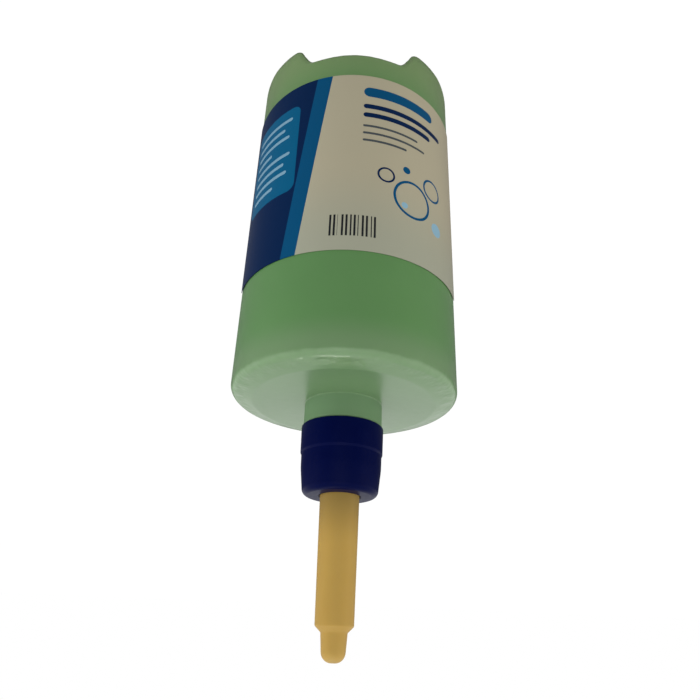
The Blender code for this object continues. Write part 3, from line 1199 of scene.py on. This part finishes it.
@dataclass(frozen=True)
class Lamp:
    """Square area lamp in metres and watts, which lights the pack or is only mirrored in it."""

    name: str
    spot: Point
    size: float
    power: float
    tint: Point
    mirrored: bool = False

    def make(self, aim: Point) -> None:
        """Adds the lamp, facing a point."""
        light = bpy.data.lights.new(self.name, "AREA")
        light.size = self.size
        light.energy = self.power
        light.color = self.tint
        stand = bpy.data.objects.new(self.name, light)
        stand.location = self.spot
        facing = Vector(aim) - Vector(self.spot)
        stand.rotation_euler = facing.to_track_quat("-Z", "Y").to_euler()
        stand.visible_camera = False
        stand.visible_glossy = self.mirrored
        stand.visible_diffuse = not self.mirrored
        bpy.context.scene.collection.objects.link(stand)


@dataclass
class Studio:
    """White floor and surroundings, soft lamps and the photograph's camera."""

    floor_size: float = 8.0
    floor_grey: float = 0.16
    # Brightness of the floor's glow, and its share in what the camera sees of the floor.
    floor_glow: float = 1.14
    glow_share: float = 0.88
    world_level: float = 0.42
    aim: Point = (0, 0, 0.1)
    lamps: tuple[Lamp, ...] = (
        Lamp("side_left", (0.75, -0.10, 0.25), 0.6, 5.0, (1.0, 0.97, 1.0)),
        Lamp("side_right", (-0.75, -0.10, 0.25), 0.6, 3.8, (1.0, 0.95, 0.93)),
        Lamp("above", (0.0, -0.05, 1.1), 0.6, 2.4, (1.0, 0.97, 1.0)),
        Lamp("behind", (0.0, 1.1, 0.5), 0.8, 4.0, (1.0, 1.0, 1.0)),
        Lamp("front", (0.0, -1.1, 0.5), 0.8, 7.5, (1.0, 1.0, 0.98)),
        Lamp("glint", (0.08, 0.15, 1.0), 0.10, 0.8, (1.0, 1.0, 0.90), mirrored=True),
    )
    lens: float = 32.138
    sensor: float = 36.0
    clip_start: float = 0.01
    # Turn of the camera about the pack, in degrees, and its fitted place before that turn.
    turn: float = -0.8
    camera_rows: tuple[tuple[float, ...], ...] = (
        (-0.9991033, 0.0418260, 0.0067105, 0.0),
        (-0.0242067, -0.433717, -0.900725, -0.24494),
        (-0.0347632, -0.900078, 0.434340, 0.26313),
        (0.0, 0.0, 0.0, 1.0),
    )

    def make(self) -> None:
        """Builds all of it."""
        self.make_floor()
        self.make_world()
        for lamp in self.lamps:
            lamp.make(self.aim)
        self.make_camera()
        bpy.context.scene.view_settings.view_transform = "Standard"

    def make_floor(self) -> None:
        """Builds the floor, which looks white and keeps the pack's shadow."""
        Bench.deselect()
        bpy.ops.mesh.primitive_plane_add(size=self.floor_size, location=(0, 0, 0))
        floor = bpy.context.object
        floor.name = "floor"
        sheet = MaterialSheet("white_floor")
        seen = sheet.add("ShaderNodeLightPath", {}, {}, "Is Camera Ray")
        light = {"Color": WHITE, "Strength": self.floor_glow}
        glow = sheet.add("ShaderNodeEmission", {}, light, "Emission")
        grey = (self.floor_grey, self.floor_grey, self.floor_grey, 1.0)
        matt = sheet.add("ShaderNodeBsdfDiffuse", {}, {"Color": grey}, "BSDF")
        share = seen * self.glow_share
        both = sheet.add("ShaderNodeMixShader", {}, {0: share, 1: matt, 2: glow})
        sheet.set_input(sheet.tree.nodes["Material Output"].inputs["Surface"], both)
        Bench.paint(floor, sheet.material)

    def make_world(self) -> None:
        """Builds the surroundings: white in view and in reflections, else a plain light."""
        world = bpy.data.worlds.new("studio")
        bpy.context.scene.world = world
        world.use_nodes = True
        world.node_tree.nodes.clear()
        sheet = Sheet(world.node_tree)
        seen = sheet.add("ShaderNodeLightPath", {}, {}, "Is Camera Ray")
        mirrored = sheet.add("ShaderNodeLightPath", {}, {}, "Is Glossy Ray")
        either = seen.math("MAXIMUM", seen, mirrored)
        light = {"Color": WHITE, "Strength": self.world_level}
        level = sheet.add("ShaderNodeBackground", {}, light)
        white = sheet.add("ShaderNodeBackground", {}, {"Color": WHITE})
        both = sheet.add("ShaderNodeMixShader", {}, {0: either, 1: level, 2: white})
        output = sheet.tree.nodes.new("ShaderNodeOutputWorld")
        sheet.set_input(output.inputs["Surface"], both)

    def make_camera(self) -> None:
        """Builds the photograph's camera, which sees the pack tube down."""
        view = bpy.data.cameras.new("photo_camera")
        view.lens = self.lens
        view.sensor_width = self.sensor
        view.clip_start = self.clip_start
        stand = bpy.data.objects.new("photo_camera", view)
        placed = Matrix(self.camera_rows)
        stand.matrix_world = Matrix.Rotation(math.radians(self.turn), 4, "Z") @ placed
        bpy.context.scene.collection.objects.link(stand)
        bpy.context.scene.camera = stand


def report(piece: bpy.types.Object) -> None:
    """Logs a piece's name and number of faces."""
    LOG.info("%s: %d faces", piece.name, len(piece.data.polygons))


def main() -> None:
    """Builds and dresses the pack and sets up the studio."""
    logging.basicConfig(level=logging.INFO, format="%(name)s: %(message)s")
    for maker in (Bottle(), Label(), Cap(), Tube()):
        report(maker.make())
    for name in Inside().dress():
        LOG.info("%s: CAD node dressed", name)
    Studio().make()
    Bench.deselect()


if __name__ == "__main__":
    main()
